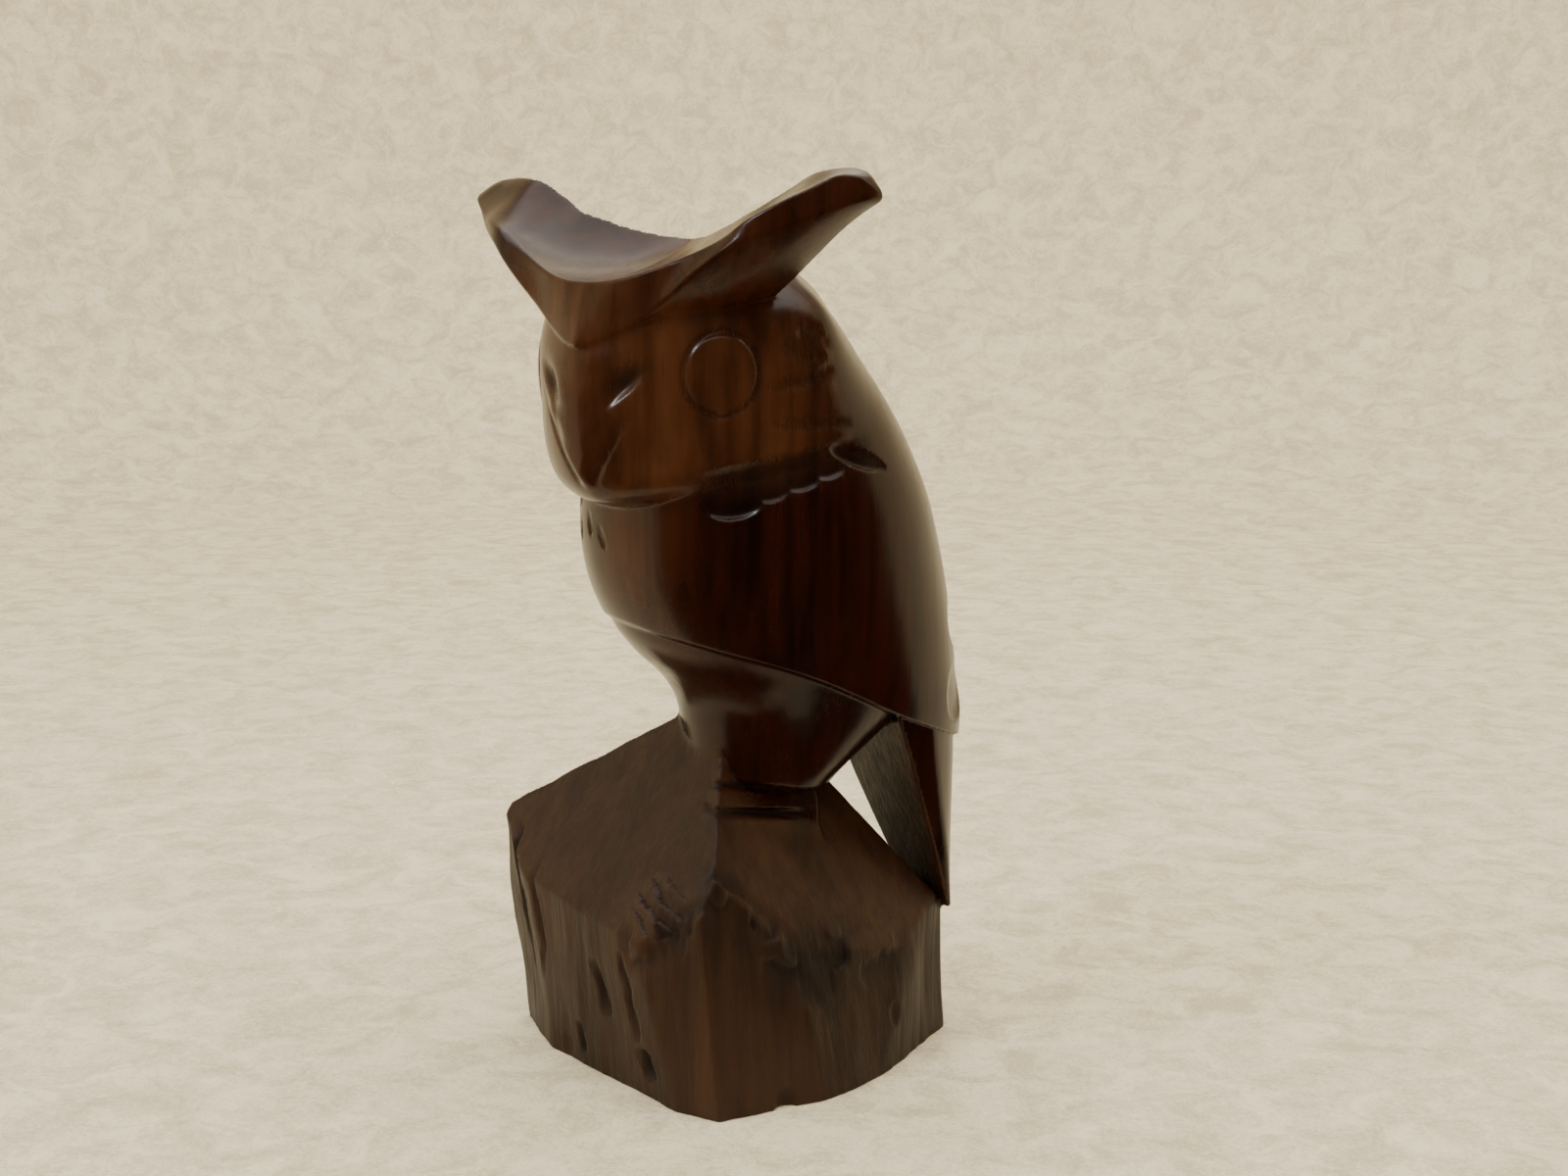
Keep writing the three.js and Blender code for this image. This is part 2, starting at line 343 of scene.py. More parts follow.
# Where the owl's polish ends towards the base, and the part of it that the hollow tail side lacks.
POLISH_EDGE = (-0.6, 1.2)
TAIL_DULLNESS = 0.75
TAIL_INSIDE_TOP = (56, 62)
TAIL_INSIDE_FRONT = (22, 25)
TAIL_INSIDE_FACING = (0.2, 0.6)

# How warm the wood is: everywhere on the owl, and how much more on the face and on the breast.
OWL_WARMTH = 0.04
FACE_WARMTH = 0.56
BREAST_WARMTH = 0.34
FACE_WARM_ABOVE = (99, 106)
FACE_WARM_SIDE_DEG = (62, 108)
BROW_COOLNESS = 0.6
BROW_COOL_ABOVE = (124, 136)
BREAST_WARM_ABOVE = (62, 80)
BREAST_WARM_TURN = (18, 20)  # its middle and its reach in degrees

NOISE_SIZE = 32
NOISE = np.random.default_rng(7).random((NOISE_SIZE, NOISE_SIZE, NOISE_SIZE))


# Helpers for shapes

def smooth_table(rows, steps=12):
    """A table's rows with smooth steps between them (Catmull-Rom)."""
    rows = np.array(rows, float)
    ends = np.vstack([rows[:1], rows, rows[-1:]])
    t = np.linspace(0, 1, steps, endpoint=False)[:, None]
    spans = []
    for before, start, end, after in zip(ends, ends[1:], ends[2:], ends[3:]):
        leave, arrive = (end - before) / 2, (after - start) / 2
        cubic = 2 * (start - end) + leave + arrive
        square = 3 * (end - start) - 2 * leave - arrive
        spans.append(((cubic * t + square) * t + leave) * t + start)
    return np.vstack(spans + [rows[-1:]])


def columns(table, at):
    """Every other column of a table at these values of its first one."""
    return [np.interp(at, table[:, 0], table[:, i]) for i in range(1, table.shape[1])]


def smooth_min(a, b, k):
    """The smaller of two distances, with a fillet of about k."""
    overlap = np.maximum(k - np.abs(a - b), 0) / k
    return np.minimum(a, b) - overlap * overlap * k / 4


def smooth_max(a, b, k):
    """The larger of two distances, with a rounding of about k."""
    return -smooth_min(-a, -b, k)


def fade(value, start, end):
    """Rises smoothly from 0 at start to 1 at end."""
    t = np.clip((value - start) / (end - start), 0, 1)
    return t * t * (3 - 2 * t)


def window(value, rise, fall):
    """Rises from 0 to 1 between the two values of rise, and sinks back between those of fall."""
    return fade(value, *rise) * (1 - fade(value, *fall))


def between(low, high, distance, x, y, z):
    """distance for the points from low to high, and FAR for the others."""
    result = np.full(z.shape, FAR)
    near = (z > low) & (z < high)
    if near.any():
        result[near] = distance(x[near], y[near], z[near])
    return result


def noise(x, y, z):
    """Smooth seeded noise from -1 to 1 that changes over about one unit."""
    cells = [np.floor(c).astype(int) for c in (x, y, z)]
    parts = [fade(c - cell, 0, 1) for c, cell in zip((x, y, z), cells)]
    total = np.zeros(x.shape)
    for corner in itertools.product((0, 1), repeat=3):
        weight = np.ones(x.shape)
        for part, bit in zip(parts, corner):
            weight *= part if bit else 1 - part
        total += weight * NOISE[tuple((cell + bit) % NOISE_SIZE for cell, bit in zip(cells, corner))]
    return total * 2 - 1


def unevenness(layers, x, y, z):
    """Several layers of noise stretched along the grain."""
    return sum(depth * noise(x / across, y / across, z / along) for depth, across, along in layers)


def to_head(x, y, z):
    """How far points lie to the side, to the front and up in the turned head's frame."""
    turn = math.radians(HEAD_TURN_DEG)
    side = x * math.cos(turn) + (y - HEAD_AXIS_Y) * math.sin(turn)
    front = x * math.sin(turn) - (y - HEAD_AXIS_Y) * math.cos(turn)
    return side, front, z - side * HEAD_TILT


CLOAK_TABLE = smooth_table(CLOAK)
BELLY_TABLE = smooth_table(BELLY)
FACE_TABLE = smooth_table(FACE)
BROW_TABLE = smooth_table(BROW)
TAIL_TABLE = np.array(TAIL, float)


# The uncut shapes: how far outside each one a point lies

def oval_distance(x, y, z, table):
    """A stack of oval sections."""
    front, back, half = columns(table, z)
    depth = (back - front) / 2
    across = x / half
    along = (y - (front + back) / 2) / depth
    reach = np.maximum(np.hypot(across, along), TINY)
    slope = np.maximum(np.hypot(across / half, along / depth), TINY / FAR)
    return np.maximum((reach - 1) * reach / slope, np.maximum(table[0, 0] - z, z - table[-1, 0]))


def cloak_distance(x, y, z):
    """The wings and back down to the wings' lower edge."""
    tilt = math.hypot(1, WING_EDGE_FALL)
    lift_y, lift_reach, lift = WING_EDGE_LIFT
    edge = WING_EDGE_Z - WING_EDGE_FALL * y + lift * np.exp(-(((y - lift_y) / lift_reach) ** 2))
    below_edge = (edge - z) / tilt
    return smooth_max(oval_distance(x, y, z, CLOAK_TABLE), below_edge, SOFT["wing"])


def belly_distance(x, y, z):
    """The belly and legs."""
    return oval_distance(x, y, z, BELLY_TABLE)


def face_distance(x, y, z):
    """The face: flat cheeks that meet in the ridge of the beak."""
    side, front, height = to_head(x, y, z)
    ahead, half, back = columns(FACE_TABLE, height)
    power = np.where(front > 0, FACE_WEDGE, 2.0)
    depth = np.where(front > 0, ahead, back)
    across = np.abs(side) / half
    along = np.abs(front) / depth
    reach = np.maximum((across**power + along**power) ** (1 / power), TINY)
    slope = reach ** (1 - power) * np.hypot(across ** (power - 1) / half, along ** (power - 1) / depth)
    flat = (reach - 1) / np.maximum(slope, TINY)
    flat += FACE_RECESS * fade(height, *FACE_RECESS_HEIGHT) * (1 - fade(np.abs(side), *FACE_RECESS_SIDE))
    return np.maximum(flat, np.maximum(FACE_TABLE[0, 0] - height, height - FACE_TABLE[-1, 0]))


def left_of_line(a, b, start, end):
    """How far the points of a section lie to the left of the line from start to end."""
    run, rise = end[0] - start[0], end[1] - start[1]
    return ((b - start[1]) * run - (a - start[0]) * rise) / np.hypot(run, rise)


def brow_distance(x, y, z):
    """The brow and ear tufts: a front facet, a hollow top, a coved underside and a rear face."""
    side, front, height = to_head(x, y, z)
    right_ear = fade(-side, *RIGHT_EAR_FROM_TO)
    side = np.abs(side)
    corners = columns(BROW_TABLE, side)
    upper_front, upper_z, lower_front, lower_z, under_front, under_z, back_front, back_z = corners
    upper_z = upper_z - RIGHT_EAR_DROP * right_ear
    ahead = (front - back_front) / (upper_front - back_front)
    dip = BROW_DIP * (1 - (side / EAR_REACH) ** 2)
    top = back_z + (upper_z - back_z) * ahead - 4 * dip * ahead * (1 - ahead)
    inward = np.clip((lower_front - front) / (lower_front - under_front), 0, 1)
    bottom = lower_z + (under_z - lower_z) * (1 - (1 - inward) ** COVE_CURVE)
    facet = left_of_line(front, height, (upper_front, upper_z), (lower_front, lower_z))
    back = back_front - BROW_BACK
    rear = left_of_line(front, height, (under_front, under_z), (back, (back_z + under_z) / 2))
    result = smooth_max(facet, (height - top) * BROW_TOP_SLOPE, SOFT["section"])
    result = smooth_max(result, (bottom - height) * BROW_COVE_SLOPE, SOFT["section"])
    result = smooth_max(result, rear, SOFT["section"])
    result = smooth_max(result, back - front, SOFT["section"])
    end_side, end_up, end_out = EAR_END
    end_out = end_out + RIGHT_EAR_LONGER * right_ear
    result = smooth_max(result, end_side * side + end_up * height - end_out, SOFT["ear"])
    return smooth_max(result, height - EAR_TOP, SOFT["ear"])


def tail_distance(x, y, z):
    """The tail: flat inside, crowned outside."""
    inner, edge, crown, half = columns(TAIL_TABLE, z)
    outer = crown - (crown - edge) * (np.abs(x) / half) ** TAIL_CROWN
    result = smooth_max(inner - y, y - outer, SOFT["section"])
    result = smooth_max(result, np.abs(x) - half, SOFT["section"])
    return smooth_max(result, np.maximum(TAIL_TABLE[0, 0] - z, z - TAIL_TABLE[-1, 0]), SOFT["section"])


def facet_planes(x, y, z, facets):
    """How far points lie in front of each facet."""
    planes = []
    for turn, lean, out, *_ in facets:
        turn, lean = math.radians(turn), math.radians(lean)
        level = x * math.sin(turn) - y * math.cos(turn)
        planes.append(level * math.cos(lean) + z * math.sin(lean) - out)
    return planes


def feet_distance(x, y, z):
    """The block of the feet between the belly and the base."""
    result = np.maximum(np.maximum(z - FEET_TOP, FEET_BOTTOM - z), y - FEET_BACK)
    for plane in facet_planes(np.abs(x), y, z, FEET):
        result = smooth_max(result, plane, SOFT["section"])
    return result


def base_distance(x, y, z):
    """The base: rough-hewn sides, knife-cut tops and a flat underside."""
    hewn = unevenness(HEWN_ROUGHNESS, x, y, z)
    knife = unevenness(KNIFE_ROUGHNESS, x, y, z)
    result = -z
    planes = facet_planes(x, y, z, FACETS)
    for number, (plane, (*_, roughness)) in enumerate(zip(planes, FACETS)):
        uneven = hewn if number < FIRST_TOP else knife
        result = smooth_max(result, plane + roughness * uneven, SOFT["facet"])
    return result


def owl_distance(x, y, z):
    """The owl without its base."""
    cloak = between(*HEIGHTS["cloak"], cloak_distance, x, y, z)
    face = between(*HEIGHTS["face"], face_distance, x, y, z)
    owl = smooth_min(cloak, face, np.interp(z, CHIN_HEIGHTS, [SOFT["disc"], SOFT["face"]]))
    owl = smooth_min(owl, between(*HEIGHTS["brow"], brow_distance, x, y, z), SOFT["brow"])
    owl = smooth_min(owl, between(*HEIGHTS["tail"], tail_distance, x, y, z), SOFT["tail"])
    belly = smooth_min(belly_distance(x, y, z), feet_distance(x, y, z), SOFT["foot"])
    return smooth_min(owl, np.where(z < BELLY_BELOW, belly, FAR), SOFT["wing"])


# Cuts into the surface: how deep each one goes at a point

def along_stroke(u, v, stroke):
    """Distance to a broken line, and how far along it the nearest place is, from 0 to 1."""
    nearest = np.full(u.shape, FAR)
    along = np.zeros(u.shape)
    spans = len(stroke) - 1
    for i, (start, end) in enumerate(zip(stroke, stroke[1:])):
        du, dv = end[0] - start[0], end[1] - start[1]
        t = np.clip(((u - start[0]) * du + (v - start[1]) * dv) / (du * du + dv * dv), 0, 1)
        distance = np.hypot(u - start[0] - t * du, v - start[1] - t * dv)
        closer = distance < nearest
        nearest = np.where(closer, distance, nearest)
        along = np.where(closer, (i + t) / spans, along)
    return nearest, along


def groove(u, v, stroke, width, depth):
    """A rounded groove along a stroke, shallower towards both ends."""
    distance, along = along_stroke(u, v, stroke)
    taper = 1 - np.abs(2 * along - 1) ** 3
    return depth * taper * np.clip(1 - (distance / width) ** 2, 0, 1) ** 2


def tilted(u, v, middle, half_width, half_height, tilt_deg):
    """Places on the sheet as seen from an oval: 1 is its edge, across it and up it."""
    tilt = math.radians(tilt_deg)
    du, dv = u - middle[0], v - middle[1]
    across = (du * math.cos(tilt) + dv * math.sin(tilt)) / half_width
    up = (dv * math.cos(tilt) - du * math.sin(tilt)) / half_height
    return across, up


def dent(u, v, middle_u, middle_v, half_width, half_height, tilt_deg, depth):
    """A soft dent without edges."""
    across, up = tilted(u, v, (middle_u, middle_v), half_width, half_height, tilt_deg)
    return depth * np.exp(-(across**2) - up**2)


def scoop(u, v, middle, half_width, half_height, tilt_deg, depth):
    """A gouge cut that runs in from the top and ends in a steep curved rim at the bottom."""
    across, up = tilted(u, v, middle, half_width, half_height, tilt_deg)
    reach = np.minimum(np.hypot(across, up), 1)
    return depth * (1 - reach**5) * (0.55 - 0.45 * up)


def unrolled(turn_deg, height, radius):
    """A place on an upright cylinder, as a place on the flat sheet."""
    return math.radians(turn_deg) * radius, height


def scoops(u, v, table, radius):
    """All the scoops of a table, each where it is deepest."""
    total = np.zeros(u.shape)
    for turn, height, half_width, half_height, tilt_deg, depth in table:
        middle = unrolled(turn, height, radius)
        total = np.maximum(total, scoop(u, v, middle, half_width, half_height, tilt_deg, depth))
    return total


def eye_cuts(side, front, height):
    """The ring grooves of both eyes, and the domes inside them."""
    turn = math.radians(EYE_TURN_DEG)
    across = np.abs(side) * math.cos(turn) - front * math.sin(turn)
    reach = np.hypot(across, (height - EYE_Z) / EYE_STRETCH)
    outward = np.abs(side) * math.sin(turn) + front * math.cos(turn)
    width, depth = EYE_GROOVE
    ring = depth * np.clip(1 - ((reach - EYE_RADIUS) / width) ** 2, 0, 1) ** 2
    dome = EYE_DOME * np.clip(1 - (reach / EYE_RADIUS) ** 2, 0, 1)
    return np.where(outward > IN_FRONT, ring - dome, 0)


def beak_cuts(side, front, height):
    """The grooves beside the beak, the beak that stands proud between them, and its hollows."""
    side = np.abs(side)
    distance, along = along_stroke(side, height, BEAK_EDGE)
    edge = np.interp(-height, [-h for _, h in BEAK_EDGE], [s for s, _ in BEAK_EDGE])
    inside = np.where(side < edge, distance, -distance)
    width, depth = BEAK_GROOVE
    cut = depth * window(height, *BEAK_GROOVE_ENDS) * np.clip(1 - (distance / width) ** 2, 0, 1) ** 2
    proud = BEAK_PROUD * fade(inside, *BEAK_SHOULDER) * window(height, *BEAK_PROUD_ENDS)
    hollow = sum(dent(side, height, *place) for place in BEAK_HOLLOWS)
    return np.where(front > IN_FRONT, cut - proud + hollow, 0)


def ruff_cuts(side, front, height):
    """The strokes behind the eyes, the stepped rim below them and the gouged feather tips."""
    u = np.arctan2(np.abs(side), front) * HEAD_RADIUS
    cut = np.zeros(u.shape)
    for stroke in RUFF_STROKES:
        line = [unrolled(*point, HEAD_RADIUS) for point in stroke]
        cut += groove(u, height, line, *RUFF_STROKE)
        cut -= groove(u, height + RUFF_RIDGE_DROP, line, *RUFF_RIDGE)
    rim = [unrolled(*point, HEAD_RADIUS) for point in RUFF_RIM]
    below = np.interp(u, [p[0] for p in rim], [p[1] for p in rim]) - height
    (first, _), (second, _), *_, (next_to_last, _), (last, _) = rim
    soft_start, soft_end = RUFF_RIM_ENDS
    ends = window(u, (first, second + soft_start), (next_to_last - soft_end, last + soft_end))
    cut += RUFF_STEP * window(below, *RUFF_STEP_ENDS) * ends
    return cut + scoops(u, height, NECK_SCOOPS, HEAD_RADIUS)


def body_cuts(x, y, z):
    """Gouged feather tips on the back and ticks on the chest."""
    turn = np.degrees(np.arctan2(x, BODY_AXIS_Y - y))
    round_back = np.radians(np.where(turn < -90, turn + 360, turn)) * BODY_RADIUS
    return scoops(round_back, z, BACK_SCOOPS + CHEST_SCOOPS, BODY_RADIUS)


def foot_cuts(x, y, z):
    """Two cuts across the side of each foot."""
    inner, outer = FOOT_SIDE
    on_side = window(np.abs(x), (inner, inner + 1), (outer - 1, outer))
    return on_side * sum(groove(y, z, line, *FOOT_STROKE) for line in FOOT_STROKES)


def broken_edges(x, y, z):
    """Chips broken out along the edges between facets."""
    planes = facet_planes(x, y, z, FACETS)
    chips = fade(unevenness(CHIPS, x, y, z), *CHIP_EDGE)
    cut = np.zeros(x.shape)
    for (side, top), down, inward, depth in BROKEN_EDGES:
        near = fade(planes[top], -down, -0.35 * down) * fade(planes[side], -inward, -0.3 * inward)
        on_base = np.maximum(planes[top], planes[side]) < 1
        cut = np.maximum(cut, depth * near * chips * on_base)
    return cut


def knife_steps(x, y, z):
    """How proud the small knife steps stand."""
    depth, size = STEP_WAVES
    climb = z + STEP_SLANT * x + noise(x / size, y / size, z / size) * depth
    steps = np.mod(climb, STEP_HEIGHT) / STEP_HEIGHT
    reach = sum(((c - m) / r) ** 2 for c, m, r in zip((x, y, z), STEPS_MIDDLE, STEPS_REACH))
    return STEP_PROUD * steps * np.clip(STEP_EDGE - STEP_EDGE * reach, 0, 1)


def base_cuts(x, y, z):
    """Splits, nicks, broken edges and small knife steps."""
    cut = broken_edges(x, y, z)
    wavy_x = x + unevenness([SPLIT_WAVES], x, y, z)
    for stroke, width, depth in BASE_SPLITS:
        cut += np.where(y < SPLITS_FRONT, groove(wavy_x, z, stroke, width, depth), 0)
    for nick_x, nick_y, nick_z, radius, depth in BASE_NICKS:
        up = (z - nick_z) / NICK_STRETCH
        reach = np.sqrt((x - nick_x) ** 2 + (y - nick_y) ** 2 + up**2) / radius
        cut += depth * np.clip(1 - reach**2, 0, 1)
    return cut - knife_steps(x, y, z)


def cuts(x, y, z):
    """The depth of all the cuts."""
    total = np.zeros(x.shape)
    head = z > HEAD_CUTS_ABOVE
    if head.any():
        place = to_head(x[head], y[head], z[head])
        total[head] += eye_cuts(*place) + beak_cuts(*place) + ruff_cuts(*place)
    body_from, body_to = BODY_CUTS_BETWEEN
    body = (z > body_from) & (z < body_to)
    if body.any():
        total[body] += body_cuts(x[body], y[body], z[body])
    low = z < LOW_CUTS_BELOW
    if low.any():
        total[low] += base_cuts(x[low], y[low], z[low]) + foot_cuts(x[low], y[low], z[low])
    return total + unevenness(HAND_ROUGHNESS, x, y, z)


def wood_distance(x, y, z):
    """How far outside the finished carving points lie."""
    base = between(*HEIGHTS["base"], base_distance, x, y, z)
    owl = owl_distance(x, y, z)
    result = smooth_min(owl, base, SOFT["foot"])
    near = np.abs(result) < CUT_REACH
    if near.any():
        result[near] += cuts(x[near], y[near], z[near])
    return np.maximum(result, -z)


# From distances to a mesh

def sampled(low, high, step):
    """The distances on a grid of points."""
    axes = [np.arange(a, b + step, step) for a, b in zip(low, high)]
    x, y = np.meshgrid(axes[0], axes[1], indexing="ij")
    values = np.empty((len(axes[0]), len(axes[1]), len(axes[2])), np.float32)
    for layer, height in enumerate(axes[2]):
        flat = wood_distance(x.ravel(), y.ravel(), np.full(x.size, height))
        values[:, :, layer] = flat.reshape(x.shape)
    return values


def shifted(values, offset, shape):
    """The part of a grid that starts at offset and has this shape."""
    return values[tuple(slice(o, o + n) for o, n in zip(offset, shape))]


def quads_along(inside, index, unit):
    """The quads round the grid edges along one axis where the surface passes, facing outwards."""
    ends = tuple(n - u for n, u in zip(inside.shape, unit))
    start_inside = shifted(inside, (0, 0, 0), ends)
    edges = np.argwhere(start_inside != shifted(inside, unit, ends))
    first, second = np.roll(unit, 1), np.roll(unit, 2)
    round_edge = [edges, edges - first, edges - first - second, edges - second]
    ring = np.stack([index[tuple(cell.T)] for cell in round_edge], axis=1)
    outward = start_inside[tuple(edges.T)]
    ring[~outward] = ring[~outward][:, ::-1]
    return ring


def surface_net(values):
    """Vertices and quads of the closed surface where the values change sign, in grid units."""
    inside = values < 0
    shape = tuple(n - 1 for n in values.shape)
    corners = list(itertools.product((0, 1), repeat=3))
    full = sum(shifted(inside, corner, shape).astype(np.int8) for corner in corners)
    crossed = (full > 0) & (full < 8)
    cells = np.argwhere(crossed)
    index = np.full(shape, -1)
    index[crossed] = np.arange(len(cells))

    total = np.zeros((len(cells), 3))
    count = np.zeros((len(cells), 1))
    quads = []
    for axis in range(3):
        unit = np.eye(3, dtype=int)[axis]
        for corner in corners:
            if corner[axis]:
                continue
            start = values[tuple((cells + corner).T)]
            end = values[tuple((cells + corner + unit).T)]
            cut = (start < 0) != (end < 0)
            part = start[cut] / (start[cut] - end[cut])
            total[cut] += np.array(corner) + part[:, None] * unit
            count[cut] += 1
        quads.append(quads_along(inside, index, unit))
    return cells + total / count, np.vstack(quads)


def field_at(points):
    """The distances at rows of points."""
    return wood_distance(*points.T)


def gradient(points, reach):
    """The direction in which the distance grows, and how sharply the surface bends outwards."""
    value = field_at(points)
    slopes = []
    bend = -6 * value
    for unit in np.eye(3) * reach:
        ahead, behind = field_at(points + unit), field_at(points - unit)
        slopes.append((ahead - behind) / (2 * reach))
        bend += ahead + behind
    return value, np.stack(slopes, axis=1), bend / reach


def settled(points, steps=2, furthest=0.3):
    """Points moved onto the surface."""
    for _ in range(steps):
        value, slope, _ = gradient(points, 0.05)
        move = slope * (value / np.maximum((slope**2).sum(1), 0.2))[:, None]
        length = np.linalg.norm(move, axis=1, keepdims=True)
        points = points - move * np.minimum(1, furthest / np.maximum(length, TINY))
    points[:, 2] = np.maximum(points[:, 2], 0)
    return points


def mesh_object(name, vertices, faces):
    """A new object in the scene from rows of vertices and faces."""
    mesh = bpy.data.meshes.new(name)
    mesh.from_pydata(vertices.tolist(), [], faces.tolist())
    obj = bpy.data.objects.new(name, mesh)
    bpy.context.scene.collection.objects.link(obj)
    return obj


def on_face(points):
    """Whether points lie on the face, its ruff or the front of the brow."""
    side, front, height = to_head(*points.T)
    round_head = np.degrees(np.arctan2(np.abs(side), front))
    return (height > FINE_FROM) & (round_head < FINE_SIDE_DEG)


def reduced(obj, triangles, fine):
    """The object's mesh with at most this many triangles, keeping the vertices marked as fine."""
    group = obj.vertex_groups.new(name="coarse")
    group.add(np.flatnonzero(~fine).tolist(), 1.0, "REPLACE")
    decimate = obj.modifiers.new("reduce", "DECIMATE")
    decimate.vertex_group = group.name
    decimate.ratio = min(1, triangles / (2 * len(obj.data.polygons)))
    decimate.use_collapse_triangulate = True
    graph = bpy.context.evaluated_depsgraph_get()
    mesh = bpy.data.meshes.new_from_object(obj.evaluated_get(graph))
    obj.modifiers.clear()
    obj.vertex_groups.clear()
    return mesh


def add_value(mesh, name, values):
    """One number a vertex, for the material to read."""
    layer = mesh.attributes.new(name, "FLOAT", "POINT")
    layer.data.foreach_set("value", values.astype(np.float32))


def wood_polish(points, slope):
    """Where the wood is polished: the owl, but less on the hollow side of the tail."""
    x, y, z = points.T
    base = between(*HEIGHTS["base"], base_distance, x, y, z)
    polish = fade(base - owl_distance(x, y, z), *POLISH_EDGE)
    tail_inside = (1 - fade(z, *TAIL_INSIDE_TOP)) * fade(y, *TAIL_INSIDE_FRONT)
    tail_inside *= fade(-slope[:, 1], *TAIL_INSIDE_FACING)
    return polish * (1 - TAIL_DULLNESS * tail_inside)


def wood_warmth(points, polish):
    """Where the wood is orange-brown rather than dark: the face, the breast and some facets."""
    x, y, z = points.T
    side, front, height = to_head(x, y, z)
    round_head = np.degrees(np.arctan2(np.abs(side), front))
    face = fade(height, *FACE_WARM_ABOVE) * (1 - fade(round_head, *FACE_WARM_SIDE_DEG))
    face *= 1 - BROW_COOLNESS * fade(height, *BROW_COOL_ABOVE)
    turn = np.degrees(np.arctan2(x, BODY_AXIS_Y - y))
    middle, reach = BREAST_WARM_TURN
    breast = fade(z, *BREAST_WARM_ABOVE) * np.exp(-(((turn - middle) / reach) ** 2))
    owl = OWL_WARMTH + FACE_WARMTH * face + BREAST_WARMTH * breast * (1 - face)
    # On the base each facet takes its warmth from the table: partly its own tone, partly painted light
    # for how that side faces the light.
    facet = np.argmax(np.stack(facet_planes(x, y, z, FACETS)), axis=0)
    base = np.array([warmth for *_, warmth, _ in FACETS])[facet]
    return owl * polish + base * (1 - polish)


def carve():
    """The whole carving as one object."""
    low = np.array(cad_box[0]) / MM - GRID_MARGIN
    high = np.array(cad_box[1]) / MM + GRID_MARGIN
    vertices, quads = surface_net(sampled(low, high, GRID_STEP))
    vertices = low + vertices * GRID_STEP
    owl = mesh_object("carved_owl_detailed", vertices, quads)
    owl.data = reduced(owl, TRIANGLES, on_face(vertices))
    mesh = owl.data

    points = np.empty(len(mesh.vertices) * 3)
    mesh.vertices.foreach_get("co", points)
    points = settled(points.reshape(-1, 3))
    mesh.vertices.foreach_set("co", (points * MM).ravel())
    _, slope, bend = gradient(points, NORMAL_REACH)
    mesh.polygons.foreach_set("use_smooth", np.ones(len(mesh.polygons), bool))
    normals = slope / np.linalg.norm(slope, axis=1, keepdims=True)
    mesh.normals_split_custom_set_from_vertices(normals.tolist())

    x, y, z = points.T
    polish = wood_polish(points, slope)
    add_value(mesh, "polish", polish)
    add_value(mesh, "warmth", wood_warmth(points, polish))
    # The depth of the cuts: the material darkens them with it as painted shade, and makes them rougher.
    add_value(mesh, "hollow", np.clip(cuts(x, y, z), 0, 1))
    add_value(mesh, "bend", np.clip(bend, -2, 2))
    mesh.update()
    return owl


# Materials

def add_node(tree, kind, inputs=None, **settings):
    """A new shader node. inputs gives numbers or the outputs to link, by name or number."""
    node = tree.nodes.new("ShaderNode" + kind)
    for name, value in settings.items():
        setattr(node, name, value)
    for name, value in (inputs or {}).items():
        if isinstance(value, bpy.types.NodeSocket):
            tree.links.new(value, node.inputs[name])
        else:
            node.inputs[name].default_value = value
    return node


def mixed(tree, factor, first, second, blend="MIX"):
    """A colour between two others."""
    node = tree.nodes.new("ShaderNodeMix")
    node.data_type = "RGBA"
    node.blend_type = blend
    for number, value in ((0, factor), (6, first), (7, second)):
        if isinstance(value, bpy.types.NodeSocket):
            tree.links.new(value, node.inputs[number])
        else:
            node.inputs[number].default_value = value if number == 0 else (*value, 1)
    return node.outputs[2]


def maths(tree, operation, first, second=0.0, clamp=False):
    """One arithmetic step."""
    return add_node(tree, "Math", {0: first, 1: second}, operation=operation, use_clamp=clamp).outputs[0]


def blended(tree, first, first_part, second, second_part):
    """The sum of these parts of two values."""
    first = maths(tree, "MULTIPLY", first, first_part)
    second = maths(tree, "MULTIPLY", second, second_part)
    return maths(tree, "ADD", first, second)


def ranged(tree, value, start, end, low=0.0, high=1.0):
    """value from start to end, spread smoothly from low to high."""
    inputs = {"Value": value, "From Min": start, "From Max": end, "To Min": low, "To Max": high}
    return add_node(tree, "MapRange", inputs, interpolation_type="SMOOTHSTEP").outputs["Result"]


def stretched_noise(tree, place, across, along, detail=3.0, roughness=0.55, distortion=0.0):
    """Noise with cells of these sizes in metres across and along the grain."""
    scale = (1 / across, 1 / across, 1 / along)
    mapping = add_node(tree, "Mapping", {"Vector": place, "Scale": scale})
    inputs = {
        "Vector": mapping.outputs[0],
        "Scale": 1.0,
        "Detail": detail,
        "Roughness": roughness,
        "Distortion": distortion,
    }
    return add_node(tree, "TexNoise", inputs).outputs["Fac"]


def new_material(name):
    """An empty node material with its main shader."""
    material = bpy.data.materials.new(name)
    material.use_nodes = True
    return material, material.node_tree, material.node_tree.nodes["Principled BSDF"]


# Colours of the polished wood, of its warmer parts, of the dull base and of the cloth.
DARK_WOOD = (0.004, 0.0006, 0.0002)
RED_WOOD = (0.018, 0.0021, 0.0005)
WARM_DARK = (0.04, 0.0132, 0.0048)
WARM_LIGHT = (0.082, 0.03, 0.0118)
DULL_DARK = (0.008, 0.003, 0.0012)
DULL_LIGHT = (0.015, 0.0061, 0.0024)
CLOTH_DARK = (0.62, 0.545, 0.385)
CLOTH_LIGHT = (0.93, 0.85, 0.635)
ROOM_COLOR = (0.004, 0.0035, 0.003)

# The grain in metres: the size of its cells across it and along it.
BAND_CELLS = (0.0042, 0.09)
STREAK_CELLS = (0.0011, 0.03)
PORE_CELLS = (0.00028, 0.0032)
CLOUD_CELLS = (0.018, 0.03)
GRAIN_RELIEF = 0.0004


